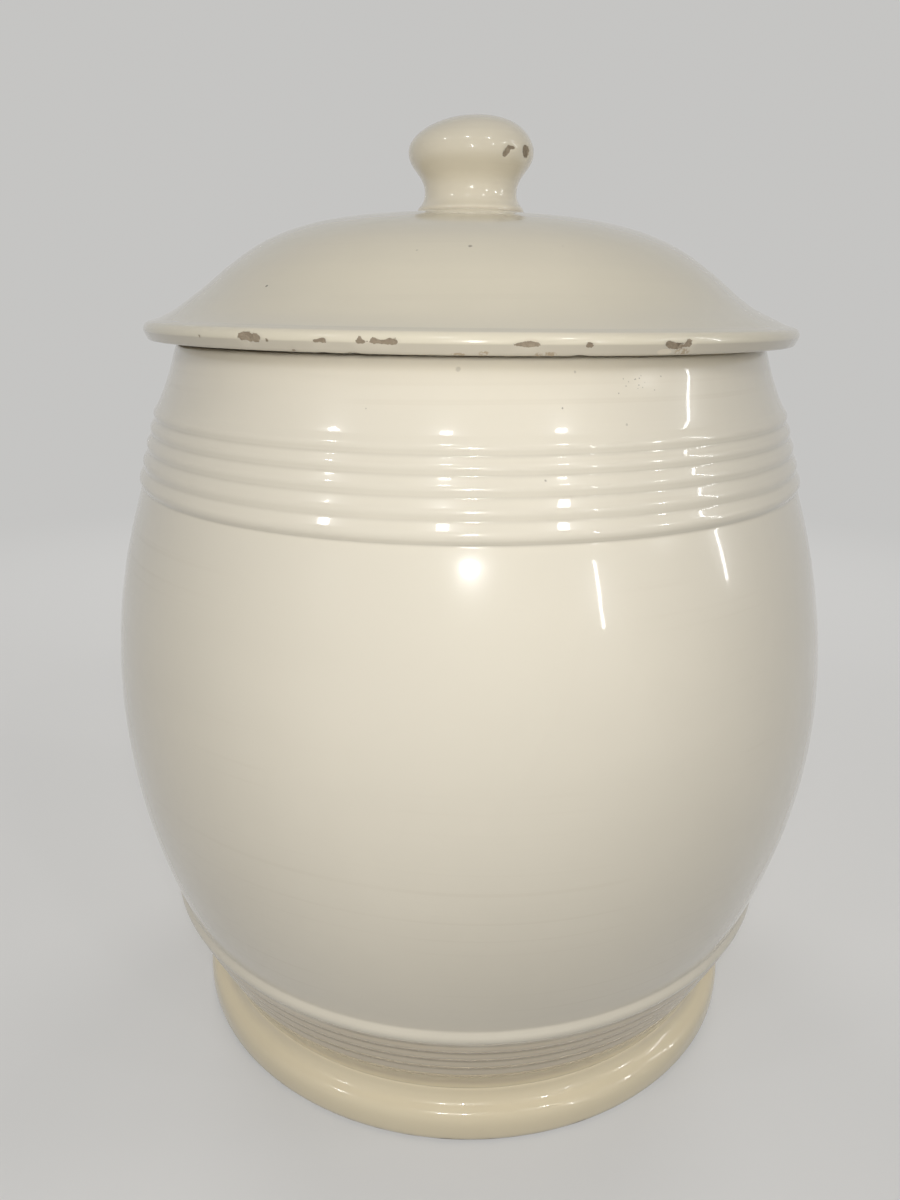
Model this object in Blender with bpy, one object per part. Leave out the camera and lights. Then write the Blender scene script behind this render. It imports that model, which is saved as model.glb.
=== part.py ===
"""A glazed earthenware storage jar with a lift-off lid, as its four thrown pieces.

The jar stands on the XY plane with its axis on Z. Lengths are in metres. Each piece is turned
about Z from an outline of (radius, height) points, as it would be on a potter's wheel.
"""

import math

import bmesh
import bpy

# Foot ring, which flares out under the jar
FOOT_HEIGHT = 0.0147
FOOT_FLARE = 0.0062
FOOT_WALL = 0.0105
LIP_HEIGHT = 0.0037
LIP_UNDERCUT = 0.0022
FOOT_CHAMFER = 0.0020

# Jar: its height to the rim and its widest girth, then its zones from the foot ring up
JAR_HEIGHT = 0.2220
BELLY_RADIUS = 0.1144
SKIRT_LENGTH = 0.0273
SKIRT_TAPER = 0.0126
RIDGE_PROUD = 0.0006
BEAD_WIDTH = 0.0056
BEAD_TAPER = 0.0008
BEAD_PROUD = 0.0013
LOWER_BELLY_INSET = 0.0121
UPPER_BELLY_INSET = 0.0128
BAND_STEP = 0.0006
BAND_TAPER = 0.0071
REED_PITCH = 0.00454
REED_PROUD = 0.0010
NECK_LENGTH = 0.0168
NECK_TAPER = 0.0060
RIM_ROUND = 0.0018
WALL = 0.0062
FLOOR = 0.0080
FLOOR_FILLET = 0.0120

# Lid
LID_OVERHANG = 0.0084
LID_RISE = 0.0364
LID_WALL = 0.0060
EDGE_ROUND = 0.00265
COLLAR_CLEARANCE = 0.0015
COLLAR_WALL = 0.0045
COLLAR_DEPTH = 0.0110
COLLAR_ROUND = 0.0014
PAD_LEDGE = 0.0009
PAD_PROUD = 0.0008

# Knob
KNOB_HEIGHT = 0.0260
KNOB_RADIUS = 0.01855
KNOB_WIDEST_HEIGHT = 0.0161
KNOB_WAIST_RADIUS = 0.01375
KNOB_WAIST_HEIGHT = 0.0051
KNOB_BASE_RADIUS = 0.0159
KNOB_BASE_EDGE = 0.0008

# Slip joint between luted pieces, and the lid's rest on the rim
SLIP_GAP = 0.0003
SEAT_GAP = 0.0003
SAME_POINT = 0.00001

# Glazes: red, green, blue and roughness
JAR_GLAZE = (0.765, 0.705, 0.580, 0.14)
FOOT_GLAZE = (0.795, 0.695, 0.490, 0.16)
LID_GLAZE = (0.720, 0.655, 0.510, 0.15)
KNOB_GLAZE = (0.770, 0.700, 0.550, 0.15)

# Counts, of reeds and of the straight runs that each curve is drawn with
REEDS = 5
JAR_SEGMENTS = 56
KNOB_SEGMENTS = 40
FLARE_STEPS = 7
LIP_STEPS = 3
FLOOR_STEPS = 4
INSIDE_STEPS = 2
RIM_STEPS = 3
NECK_STEPS = 4
REED_STEPS = 4
BELLY_STEPS = 6
BEAD_STEPS = 5
RIDGE_STEPS = 3
DOME_STEPS = 11
EDGE_STEPS = 6
COLLAR_STEPS = 2
HOLLOW_STEPS = 7
CROWN_STEPS = 6
STEM_STEPS = 5
SPREAD_STEPS = 3

# Bends: how far each reed's crest leans to its lower edge, how late the neck turns up, where the
# lid's dome meets its rounded edge, and the least corner that is shown sharp
REED_SKEW = 1.27
NECK_SWEEP = 1.4
EDGE_MEETS_DOME = 60
SHARP_ANGLE = math.radians(38)

# How far up the belly its widest girth lies
GIRTH_SHARE = 0.495

# Where the fine turned ridges begin and end, from the bead down, in shares of the skirt
RIDGE_EDGE_SHARES = (0.0, 0.17, 0.35, 0.54, 0.75)

# The lid's dome and its turned-up flank, in shares of the lid's radius and rise
DOME_SHARES = (
    (0.00, 1.000),
    (0.22, 0.968),
    (0.40, 0.922),
    (0.53, 0.845),
    (0.64, 0.725),
    (0.736, 0.555),
    (0.825, 0.365),
    (0.893, 0.243),
    (0.958, 0.155),
)

# Curve handles, in shares of each curve's own height, and of its width for the last of the knob's
FLARE_HANDLE_SHARES = (0.50, 0.34)
FLOOR_HANDLE_SHARES = (0.60, 0.40)
NECK_HANDLE_SHARE = 0.40
KNOB_SPREAD_HANDLE_SHARES = (0.26, 0.56, 0.40)
KNOB_STEM_HANDLE_SHARES = (0.47, 0.58)
KNOB_CROWN_HANDLE_SHARES = (0.45, 0.67)

# Heights of the jar's zones
SKIRT_TOP = FOOT_HEIGHT + SKIRT_LENGTH
BEAD_TOP = SKIRT_TOP + BEAD_WIDTH
BAND_TOP = JAR_HEIGHT - NECK_LENGTH
BAND_BOTTOM = BAND_TOP - REEDS * REED_PITCH
LOWER_BELLY = (BAND_BOTTOM - BEAD_TOP) * GIRTH_SHARE
UPPER_BELLY = (BAND_BOTTOM - BEAD_TOP) * (1 - GIRTH_SHARE)
BELLY_HEIGHT = BEAD_TOP + LOWER_BELLY
FLOOR_TOP = FOOT_HEIGHT + FLOOR

# Radii at the ends of those zones
BEAD_RADIUS = BELLY_RADIUS - LOWER_BELLY_INSET
SKIRT_RADIUS = BEAD_RADIUS - BEAD_TAPER
WAIST_RADIUS = SKIRT_RADIUS - SKIRT_TAPER
BELLY_TOP_RADIUS = BELLY_RADIUS - UPPER_BELLY_INSET
BAND_RADIUS = BELLY_TOP_RADIUS + BAND_STEP
SHOULDER_RADIUS = BAND_RADIUS - BAND_TAPER
RIM_RADIUS = SHOULDER_RADIUS - NECK_TAPER
MOUTH_RADIUS = RIM_RADIUS - WALL

# Sizes of the lid and its knob that follow the jar
SEAT_HEIGHT = JAR_HEIGHT + SEAT_GAP
LID_RADIUS = RIM_RADIUS + LID_OVERHANG
COLLAR_RADIUS = MOUTH_RADIUS - COLLAR_CLEARANCE
HOLLOW_RADIUS = COLLAR_RADIUS - COLLAR_WALL
PAD_RADIUS = KNOB_BASE_RADIUS + PAD_LEDGE


def between(low, high, share):
    """The value that lies at a share of the way from low to high."""
    return low + (high - low) * share


def bezier(start, first, second, end, steps):
    """Points along a cubic curve after its start, up to its end."""
    points = []
    for step in range(1, steps + 1):
        t = step / steps
        s = 1 - t
        weights = (s**3, 3 * s * s * t, 3 * s * t * t, t**3)
        corners = (start, first, second, end)
        points.append(tuple(sum(w * c[axis] for w, c in zip(weights, corners)) for axis in (0, 1)))
    return points


def arc(centre, radius, first, last, steps):
    """Points on a circular arc, both ends included, by angle in degrees from outward."""
    points = []
    for step in range(steps + 1):
        angle = math.radians(between(first, last, step / steps))
        points.append((centre[0] + radius * math.cos(angle), centre[1] + radius * math.sin(angle)))
    return points


def swelling(top, bottom, edge_shares, proud, skew, steps):
    """A straight wall from top to bottom whose surface swells between each two edges."""
    points = []
    for first, last in zip(edge_shares, edge_shares[1:]):
        for step in range(1, steps + 1):
            t = step / steps
            place = between(first, last, t)
            swell = proud * math.sin(math.pi * t**skew)
            points.append((between(top[0], bottom[0], place) + swell, between(top[1], bottom[1], place)))
    return points


def wall_radius(height):
    """Outer radius of the jar at a height, without its reeds, bead and ridges."""
    if height < SKIRT_TOP:
        return between(WAIST_RADIUS, SKIRT_RADIUS, (height - FOOT_HEIGHT) / SKIRT_LENGTH)
    if height < BEAD_TOP:
        return between(SKIRT_RADIUS, BEAD_RADIUS, (height - SKIRT_TOP) / BEAD_WIDTH)
    if height < BELLY_HEIGHT:
        return between(BELLY_RADIUS, BEAD_RADIUS, ((BELLY_HEIGHT - height) / LOWER_BELLY) ** 2)
    if height < BAND_BOTTOM:
        return between(BELLY_RADIUS, BELLY_TOP_RADIUS, ((height - BELLY_HEIGHT) / UPPER_BELLY) ** 2)
    if height < BAND_TOP:
        return between(BAND_RADIUS, SHOULDER_RADIUS, (height - BAND_BOTTOM) / (BAND_TOP - BAND_BOTTOM))
    left = max(0.0, (JAR_HEIGHT - height) / NECK_LENGTH)
    return between(RIM_RADIUS, SHOULDER_RADIUS, left**NECK_SWEEP)


def dome_height(radius):
    """Height of the lid's top above its seat at a radius, on a smooth curve through the dome's shares."""
    knots = [(share * LID_RADIUS, rise * LID_RISE) for share, rise in DOME_SHARES]
    mirrored = [(-knots[1][0], knots[1][1])] + knots
    span = max(i for i in range(1, len(mirrored) - 1) if mirrored[i][0] <= radius)
    before, low, high = mirrored[span - 1 : span + 2]
    after = mirrored[span + 2] if span + 2 < len(mirrored) else high
    width = high[0] - low[0]
    t = (radius - low[0]) / width
    low_slope = (high[1] - before[1]) / (high[0] - before[0]) * width
    high_slope = (after[1] - low[1]) / (after[0] - low[0]) * width
    return (
        (2 * t**3 - 3 * t**2 + 1) * low[1]
        + (t**3 - 2 * t**2 + t) * low_slope
        + (3 * t**2 - 2 * t**3) * high[1]
        + (t**3 - t**2) * high_slope
    )


def underside_height(radius):
    """Height of the lid's hollow at a radius, one wall thickness in from the dome."""
    reach = PAD_RADIUS
    slope = (dome_height(radius + reach) - dome_height(max(0.0, radius - reach))) / (
        radius + reach - max(0.0, radius - reach)
    )
    return dome_height(radius) - LID_WALL * math.hypot(1, slope)


def turned(name, outline, segments, closed, parent, height, glaze):
    """A solid of revolution: the outline's (radius, height) points spun once round Z."""
    shape = bmesh.new()
    verts = [shape.verts.new((radius, 0, z)) for radius, z in outline]
    ends = zip(verts, verts[1:] + verts[:1]) if closed else zip(verts, verts[1:])
    edges = [shape.edges.new(pair) for pair in ends]
    bmesh.ops.spin(
        shape,
        geom=verts + edges,
        cent=(0, 0, 0),
        axis=(0, 0, 1),
        angle=math.tau,
        steps=segments,
        use_merge=True,
    )
    bmesh.ops.remove_doubles(shape, verts=shape.verts, dist=SAME_POINT)
    bmesh.ops.dissolve_degenerate(shape, edges=shape.edges, dist=SAME_POINT)
    bmesh.ops.recalc_face_normals(shape, faces=shape.faces)

    mesh = bpy.data.meshes.new(name)
    shape.to_mesh(mesh)
    shape.free()
    mesh.shade_smooth()
    mesh.set_sharp_from_angle(angle=SHARP_ANGLE)
    mesh.materials.append(glazed(name, glaze))

    piece = bpy.data.objects.new(name, mesh)
    bpy.context.scene.collection.objects.link(piece)
    piece.parent = parent
    piece.location.z = height
    return piece


def glazed(name, glaze):
    """A plain glazed finish for one piece, from its colour and roughness."""
    *colour, roughness = glaze
    material = bpy.data.materials.new(name + "_glaze")
    material.use_nodes = True
    surface = material.node_tree.nodes["Principled BSDF"]
    surface.inputs["Base Color"].default_value = (*colour, 1)
    surface.inputs["Roughness"].default_value = roughness
    surface.inputs["Metallic"].default_value = 0
    return material


def empty(name, height):
    """A point on the jar's axis that a group of pieces hangs from."""
    point = bpy.data.objects.new(name, None)
    bpy.context.scene.collection.objects.link(point)
    point.location.z = height
    return point


def foot_ring(parent):
    """The flared ring that the jar stands on, open underneath."""
    foot_radius = WAIST_RADIUS + FOOT_FLARE
    bore = WAIST_RADIUS - FOOT_WALL
    top = FOOT_HEIGHT - SLIP_GAP
    high, low = [between(top, LIP_HEIGHT, share) for share in FLARE_HANDLE_SHARES]
    brow = (WAIST_RADIUS, top)
    lip = (foot_radius, LIP_HEIGHT)
    outline = [(bore, top), brow] + bezier(brow, (WAIST_RADIUS, high), (foot_radius, low), lip, FLARE_STEPS)
    undercut = (foot_radius - LIP_UNDERCUT, 0)
    outline += bezier(lip, (foot_radius, LIP_HEIGHT / 2), (foot_radius, 0), undercut, LIP_STEPS)
    outline += [(bore + FOOT_CHAMFER, 0), (bore, FOOT_CHAMFER)]
    turned("foot_ring", outline, JAR_SEGMENTS, True, parent, 0, FOOT_GLAZE)


def jar_body(parent):
    """The thrown jar: floor, skirt with fine ridges, bead, belly, reeded band, neck and rim."""
    inside = [(0, FLOOR_TOP)]
    corner = FLOOR_TOP + FLOOR_FILLET
    corner_radius = wall_radius(corner) - WALL
    start = (corner_radius - FLOOR_FILLET, FLOOR_TOP)
    bend = (between(start[0], corner_radius, FLOOR_HANDLE_SHARES[0]), FLOOR_TOP)
    rise_height = between(FLOOR_TOP, corner, FLOOR_HANDLE_SHARES[1])
    rise = (wall_radius(rise_height) - WALL, rise_height)
    inside += [start] + bezier(start, bend, rise, (corner_radius, corner), FLOOR_STEPS)
    heights = []
    for low, high in ((BEAD_TOP, BELLY_HEIGHT), (BELLY_HEIGHT, BAND_BOTTOM)):
        heights += [between(low, high, step / INSIDE_STEPS) for step in range(INSIDE_STEPS)]
    heights += [BAND_BOTTOM, BAND_TOP, between(BAND_TOP, JAR_HEIGHT, NECK_HANDLE_SHARE)]
    inside += [(wall_radius(height) - WALL, height) for height in heights]

    rim = arc((MOUTH_RADIUS + RIM_ROUND, JAR_HEIGHT - RIM_ROUND), RIM_ROUND, 180, 90, RIM_STEPS)
    rim += arc((RIM_RADIUS - RIM_ROUND, JAR_HEIGHT - RIM_ROUND), RIM_ROUND, 90, 0, RIM_STEPS)

    outside = []
    for step in range(1, NECK_STEPS + 1):
        height = between(JAR_HEIGHT - RIM_ROUND, BAND_TOP, step / NECK_STEPS)
        outside.append((wall_radius(height), height))
    shoulder = (SHOULDER_RADIUS, BAND_TOP)
    reeds = [reed / REEDS for reed in range(REEDS + 1)]
    outside += swelling(shoulder, (BAND_RADIUS, BAND_BOTTOM), reeds, REED_PROUD, REED_SKEW, REED_STEPS)
    outside.append((BELLY_TOP_RADIUS, BAND_BOTTOM - BAND_STEP))
    for top, bottom in ((BAND_BOTTOM, BELLY_HEIGHT), (BELLY_HEIGHT, BEAD_TOP)):
        for step in range(1, BELLY_STEPS + 1):
            height = between(top, bottom, step / BELLY_STEPS)
            outside.append((wall_radius(height), height))
    skirt = (SKIRT_RADIUS, SKIRT_TOP)
    waist = (WAIST_RADIUS, FOOT_HEIGHT)
    outside += swelling((BEAD_RADIUS, BEAD_TOP), skirt, (0, 1), BEAD_PROUD, 1, BEAD_STEPS)
    outside += swelling(skirt, waist, RIDGE_EDGE_SHARES, RIDGE_PROUD, 1, RIDGE_STEPS)
    outside += [waist, (0, FOOT_HEIGHT)]
    turned("jar_body", inside + rim + outside, JAR_SEGMENTS, False, parent, 0, JAR_GLAZE)


def lid(parent):
    """The domed lid: a flat pad on top, a thick rounded edge, and a collar that drops into the mouth."""
    pad_height = dome_height(PAD_RADIUS) + PAD_PROUD
    outline = [(0, pad_height), (PAD_RADIUS, pad_height)]
    dome_edge = DOME_SHARES[-1][0] * LID_RADIUS
    for step in range(DOME_STEPS + 1):
        radius = between(PAD_RADIUS + PAD_PROUD, dome_edge, step / DOME_STEPS)
        outline.append((radius, dome_height(radius)))
    outline += arc((LID_RADIUS - EDGE_ROUND, EDGE_ROUND), EDGE_ROUND, EDGE_MEETS_DOME, -90, EDGE_STEPS)

    tip = COLLAR_ROUND - COLLAR_DEPTH
    outline.append((COLLAR_RADIUS, 0))
    outline += arc((COLLAR_RADIUS - COLLAR_ROUND, tip), COLLAR_ROUND, 0, -90, COLLAR_STEPS)
    outline += arc((HOLLOW_RADIUS + COLLAR_ROUND, tip), COLLAR_ROUND, -90, -180, COLLAR_STEPS)
    for step in range(HOLLOW_STEPS + 1):
        radius = between(HOLLOW_RADIUS, 0, step / HOLLOW_STEPS)
        outline.append((radius, underside_height(radius)))
    turned("lid", outline, JAR_SEGMENTS, False, parent, 0, LID_GLAZE)
    return pad_height


def lid_knob(parent, pad_height):
    """The mushroom knob: a spread base, a waist and a flattened crown."""
    crown = (0, KNOB_HEIGHT)
    widest = (KNOB_RADIUS, KNOB_WIDEST_HEIGHT)
    waist = (KNOB_WAIST_RADIUS, KNOB_WAIST_HEIGHT)
    edge = (KNOB_BASE_RADIUS, KNOB_BASE_EDGE)

    low, wide = KNOB_CROWN_HANDLE_SHARES
    flat = (KNOB_RADIUS * wide, KNOB_HEIGHT)
    side = (KNOB_RADIUS, between(KNOB_WIDEST_HEIGHT, KNOB_HEIGHT, low))
    outline = [crown] + bezier(crown, flat, side, widest, CROWN_STEPS)

    low, high = [between(KNOB_WAIST_HEIGHT, KNOB_WIDEST_HEIGHT, share) for share in KNOB_STEM_HANDLE_SHARES]
    outline += bezier(widest, (KNOB_RADIUS, high), (KNOB_WAIST_RADIUS, low), waist, STEM_STEPS)

    low, high, wide = KNOB_SPREAD_HANDLE_SHARES
    under = (KNOB_WAIST_RADIUS, between(KNOB_BASE_EDGE, KNOB_WAIST_HEIGHT, high))
    spread_radius = between(KNOB_WAIST_RADIUS, KNOB_BASE_RADIUS, wide)
    spread = (spread_radius, between(KNOB_BASE_EDGE, KNOB_WAIST_HEIGHT, low))
    outline += bezier(waist, under, spread, edge, SPREAD_STEPS)
    outline += [(KNOB_BASE_RADIUS, 0), (0, 0)]
    turned("lid_knob", outline, KNOB_SEGMENTS, False, parent, pad_height + SLIP_GAP, KNOB_GLAZE)


for old in list(bpy.data.objects):
    bpy.data.objects.remove(old)

jar = empty("jar", 0)
foot_ring(jar)
jar_body(jar)

lid_lift = empty("lid_lift", SEAT_HEIGHT)
lid_knob(lid_lift, lid(lid_lift))

bpy.context.view_layer.update()
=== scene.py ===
import math

import bpy
import numpy as np
from mathutils import Matrix, Vector


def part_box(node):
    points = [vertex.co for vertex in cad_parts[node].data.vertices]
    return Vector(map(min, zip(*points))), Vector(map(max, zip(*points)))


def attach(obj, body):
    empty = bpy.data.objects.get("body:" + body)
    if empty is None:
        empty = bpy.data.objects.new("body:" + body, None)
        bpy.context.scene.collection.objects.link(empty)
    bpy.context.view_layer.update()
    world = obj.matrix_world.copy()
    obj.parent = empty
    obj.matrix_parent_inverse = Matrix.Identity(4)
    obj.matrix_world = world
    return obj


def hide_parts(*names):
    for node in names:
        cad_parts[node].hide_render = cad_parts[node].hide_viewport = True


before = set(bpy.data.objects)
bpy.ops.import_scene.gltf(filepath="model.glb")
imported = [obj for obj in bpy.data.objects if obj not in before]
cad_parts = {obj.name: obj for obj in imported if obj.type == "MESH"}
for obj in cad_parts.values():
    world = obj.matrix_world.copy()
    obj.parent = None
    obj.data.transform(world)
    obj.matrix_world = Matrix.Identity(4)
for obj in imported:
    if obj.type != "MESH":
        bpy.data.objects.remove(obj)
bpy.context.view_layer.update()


# The camera
# A phone's main camera, held close in front of the jar and just above its rim, looking down at
# the belly. Its place, and its turn, dip and tilt in radians, are read from how the rims, the
# reeds and the foot fall in the photograph.
PHONE_LENS = 27
PHONE_SENSOR = 36
CAMERA_PLACE = Vector((0, -0.2950, 0.2331))
CAMERA_TURN = 0.01925
CAMERA_DIP = 0.31916
CAMERA_TILT = 0.00432
NEAREST_SEEN = 0.01

camera = bpy.data.objects.new("camera", bpy.data.cameras.new("camera"))
camera.data.lens = PHONE_LENS
camera.data.sensor_width = PHONE_SENSOR
camera.data.clip_start = NEAREST_SEEN
camera.matrix_world = (
    Matrix.Translation(CAMERA_PLACE)
    @ Matrix.Rotation(CAMERA_TURN, 4, "Z")
    @ Matrix.Rotation(math.pi / 2 - CAMERA_DIP, 4, "X")
    @ Matrix.Rotation(CAMERA_TILT, 4, "Z")
)
bpy.context.scene.collection.objects.link(camera)
bpy.context.scene.camera = camera
bpy.context.scene.view_settings.view_transform = "Standard"


# The floor and the air round it
# A plain pale tabletop that fades with distance into an even pale background, so that no horizon
# cuts behind the lid. It keeps the jar's shadow.
FLOOR_RADIUS = 4.0
FLOOR_CORNERS = 64
FADE_STARTS = 0.25
FADE_ENDS = 0.85
LEAST_FADE = 0.45
BACKGROUND = (0.560, 0.556, 0.545, 1)
TABLETOP = (0.800, 0.790, 0.770, 1)
TABLETOP_ROUGHNESS = 0.75
TABLETOP_BOUNCE = (0.300, 0.290, 0.270, 1)
ROOM_LIGHT = 0.10
ROOM_TINT = (1.0, 0.985, 0.965, 1)


def put(tree, kind, inputs=(), **settings):
    """A node in a tree, with its settings, and each named input given a value or a wire."""
    node = tree.nodes.new(kind)
    for key, value in settings.items():
        setattr(node, key, value)
    for key, value in dict(inputs).items():
        if isinstance(value, bpy.types.NodeSocket):
            tree.links.new(value, node.inputs[key])
        else:
            node.inputs[key].default_value = value
    return node


def blank_material(name):
    """A material with an empty node tree and its output node."""
    material = bpy.data.materials.new(name)
    material.use_nodes = True
    material.node_tree.nodes.clear()
    return material, material.node_tree, material.node_tree.nodes.new("ShaderNodeOutputMaterial")


def sum_up(tree, operation, first, second, clamp=False):
    """A math node's output."""
    return put(tree, "ShaderNodeMath", {0: first, 1: second}, operation=operation, use_clamp=clamp).outputs[0]


def seen_directly(tree):
    """1 for what is seen, also in a reflection or through glass, and 0 for light that bounces."""
    rays = put(tree, "ShaderNodeLightPath").outputs
    seen = sum_up(tree, "MAXIMUM", rays["Is Camera Ray"], rays["Is Glossy Ray"])
    return sum_up(tree, "MAXIMUM", seen, rays["Is Transmission Ray"])


floor_mesh = bpy.data.meshes.new("floor")
floor_corners = []
for corner in range(FLOOR_CORNERS):
    turn = corner * math.tau / FLOOR_CORNERS
    floor_corners.append((FLOOR_RADIUS * math.cos(turn), FLOOR_RADIUS * math.sin(turn), 0))
floor_mesh.from_pydata(floor_corners, [], [range(FLOOR_CORNERS)])
floor = bpy.data.objects.new("floor", floor_mesh)
bpy.context.scene.collection.objects.link(floor)

floor_material, tree, surface = blank_material("tabletop")
place = put(tree, "ShaderNodeNewGeometry").outputs["Position"]
reach = put(tree, "ShaderNodeVectorMath", {0: place}, operation="LENGTH").outputs["Value"]
fade = put(
    tree,
    "ShaderNodeMapRange",
    {"Value": reach, "From Min": FADE_STARTS, "From Max": FADE_ENDS, "To Min": LEAST_FADE},
    interpolation_type="SMOOTHSTEP",
).outputs["Result"]
matt = put(tree, "ShaderNodeBsdfPrincipled", {"Base Color": TABLETOP, "Roughness": TABLETOP_ROUGHNESS})
haze = put(tree, "ShaderNodeEmission", {"Color": BACKGROUND, "Strength": 1.0})
blend = put(tree, "ShaderNodeMixShader", {0: fade, 1: matt.outputs[0], 2: haze.outputs[0]})
bounce = put(tree, "ShaderNodeBsdfDiffuse", {"Color": TABLETOP_BOUNCE})
blend = put(tree, "ShaderNodeMixShader", {0: seen_directly(tree), 1: bounce.outputs[0], 2: blend.outputs[0]})
tree.links.new(blend.outputs[0], surface.inputs["Surface"])
floor.data.materials.append(floor_material)

world = bpy.data.worlds.new("room")
bpy.context.scene.world = world
world.use_nodes = True
tree = world.node_tree
tree.nodes.clear()
light = put(tree, "ShaderNodeBackground", {"Color": ROOM_TINT, "Strength": ROOM_LIGHT})
view = put(tree, "ShaderNodeBackground", {"Color": BACKGROUND, "Strength": 1.0})
blend = put(tree, "ShaderNodeMixShader", {0: seen_directly(tree), 1: light.outputs[0], 2: view.outputs[0]})
put(tree, "ShaderNodeOutputWorld", {"Surface": blend.outputs[0]})


# The lamps
# Panels give the form and don't show in the glaze: one over the lens, as the phone's own lamp, one
# high in front, weaker ones to the sides and above, and two behind. Small lamps and narrow strips
# put their lights on the glaze instead, in the directions where the photograph's glaze shows lamps.

# Each lamp's name, place, width and height, power, and whether the glaze shows it
LAMPS = (
    ("panel_lens", (0.00, -0.302, 0.246), (0.020, 0.016), 0.185, False),
    ("panel_high", (-0.12, -1.05, 0.72), (0.30, 0.30), 3.00, False),
    ("panel_right", (1.30, -0.10, 0.52), (0.30, 0.50), 1.50, False),
    ("panel_left", (-0.60, -0.70, 0.40), (0.20, 0.20), 0.85, False),
    ("panel_above", (0.00, 0.10, 1.50), (0.90, 0.90), 1.20, False),
    ("panel_back_left", (-0.60, 1.15, 0.45), (0.60, 0.60), 8.00, False),
    ("panel_back_right", (0.60, 1.15, 0.45), (0.60, 0.60), 8.00, False),
    ("lamp_by_lens", (0.007, -0.296, 0.2605), (0.013, 0.013), 0.065, True),
    ("lamp_left", (-0.96, -0.72, 1.19), (0.075, 0.075), 0.70, True),
    ("lamp_middle", (-0.155, -1.00, 1.24), (0.075, 0.075), 0.70, True),
    ("lamp_right", (0.62, -0.85, 1.12), (0.070, 0.070), 0.60, True),
    ("lamp_far_right", (1.13, -0.52, 0.66), (0.070, 0.070), 0.50, True),
    ("strip_near_right", (0.84, -1.00, 0.49), (0.018, 0.300), 0.45, True),
    ("strip_far_right", (1.30, -0.12, 0.63), (0.022, 0.700), 0.85, True),
    ("strip_back", (0.00, 1.30, 0.20), (0.040, 0.300), 0.80, True),
)
LAMP_AIM = Vector((0, 0, 0.14))

for name, place, size, power, shows in LAMPS:
    lamp = bpy.data.objects.new(name, bpy.data.lights.new(name, "AREA"))
    lamp.data.shape = "RECTANGLE"
    lamp.data.size = size[0]
    lamp.data.size_y = size[1]
    lamp.data.energy = power
    lamp.visible_camera = False
    lamp.visible_glossy = shows
    lamp.location = place
    lamp.rotation_euler = (LAMP_AIM - lamp.location).to_track_quat("-Z", "Y").to_euler()
    bpy.context.scene.collection.objects.link(lamp)


# The jar
# Thrown on a wheel from grey-brown earthenware: a floor and a barrel wall, with five reeds ribbed
# into the shoulder, a raised bead and four fine ridges above the foot. It is dipped in an opaque
# off-white glaze, inside and out, that draws thin over edges; hollows get painted shade.
jar_low, jar_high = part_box("jar_body")
FOOT_HEIGHT = jar_low.z
JAR_HEIGHT = jar_high.z
BELLY_RADIUS = jar_high.x
SKIRT_LENGTH = 0.0273
SKIRT_TAPER = 0.0126
RIDGE_PROUD = 0.0008
RIDGE_EDGE_SHARES = (0.0, 0.17, 0.35, 0.54, 0.75)
BEAD_WIDTH = 0.0056
BEAD_TAPER = 0.0008
BEAD_PROUD = 0.0014
BEAD_SKEW = 1.0
LOWER_BELLY_INSET = 0.0121
UPPER_BELLY_INSET = 0.0128
GIRTH_SHARE = 0.495
BAND_STEP = 0.0006
BAND_TAPER = 0.0071
REED_EDGE_SHARES = (0.0, 0.185, 0.370, 0.575, 0.795, 1.0)
BAND_WIDTH = 0.0227
REED_PROUD = 0.00085
REED_SKEW = 1.27
COVE_HEIGHT = 0.0042
NECK_LENGTH = 0.0168
NECK_TAPER = 0.0060
NECK_SWEEP = 1.4
RIM_ROUND = 0.0018
WALL = 0.0062
FLOOR = 0.0080
FLOOR_FILLET = 0.0120
FLOOR_HANDLE_SHARES = (0.60, 0.40)
SKIRT_TOP = FOOT_HEIGHT + SKIRT_LENGTH
BEAD_TOP = SKIRT_TOP + BEAD_WIDTH
BAND_TOP = JAR_HEIGHT - NECK_LENGTH
BAND_BOTTOM = BAND_TOP - BAND_WIDTH
LOWER_BELLY = (BAND_BOTTOM - BEAD_TOP) * GIRTH_SHARE
UPPER_BELLY = (BAND_BOTTOM - BEAD_TOP) * (1 - GIRTH_SHARE)
GIRTH_HEIGHT = BEAD_TOP + LOWER_BELLY
FLOOR_TOP = FOOT_HEIGHT + FLOOR
BEAD_RADIUS = BELLY_RADIUS - LOWER_BELLY_INSET
SKIRT_RADIUS = BEAD_RADIUS - BEAD_TAPER
WAIST_RADIUS = SKIRT_RADIUS - SKIRT_TAPER
BELLY_TOP_RADIUS = BELLY_RADIUS - UPPER_BELLY_INSET
BAND_RADIUS = BELLY_TOP_RADIUS + BAND_STEP
SHOULDER_RADIUS = BAND_RADIUS - BAND_TAPER
RIM_RADIUS = SHOULDER_RADIUS - NECK_TAPER
MOUTH_RADIUS = RIM_RADIUS - WALL

# How the glaze lies: the step that outlines are followed in, how far it rounds a corner and how
# many times that its bell curve runs, the reach over which an edge or hollow is felt, and the
# bulge over that reach that leaves it thinnest
FINE_STEP = 0.00020
JAR_SOFTNESS = 0.00045
BELL_REACH = 3
RELIEF_REACH = 0.0012
RELIEF_FULL = 0.00060

# How finely shapes are followed: the points along each curve and run of wall, how far the skin may
# pass its outline, how far apart its rings may lie, and how many facets go round the jar
CURVE_POINTS = 41
ROUND_POINTS = 25
INSIDE_POINTS = 80
NECK_POINTS = 20
BELLY_POINTS = 120
COVE_POINTS = 12
OUTLINE_TOLERANCE = 0.000012
LONGEST_RING = 0.0045
JAR_SEGMENTS = 352

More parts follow.
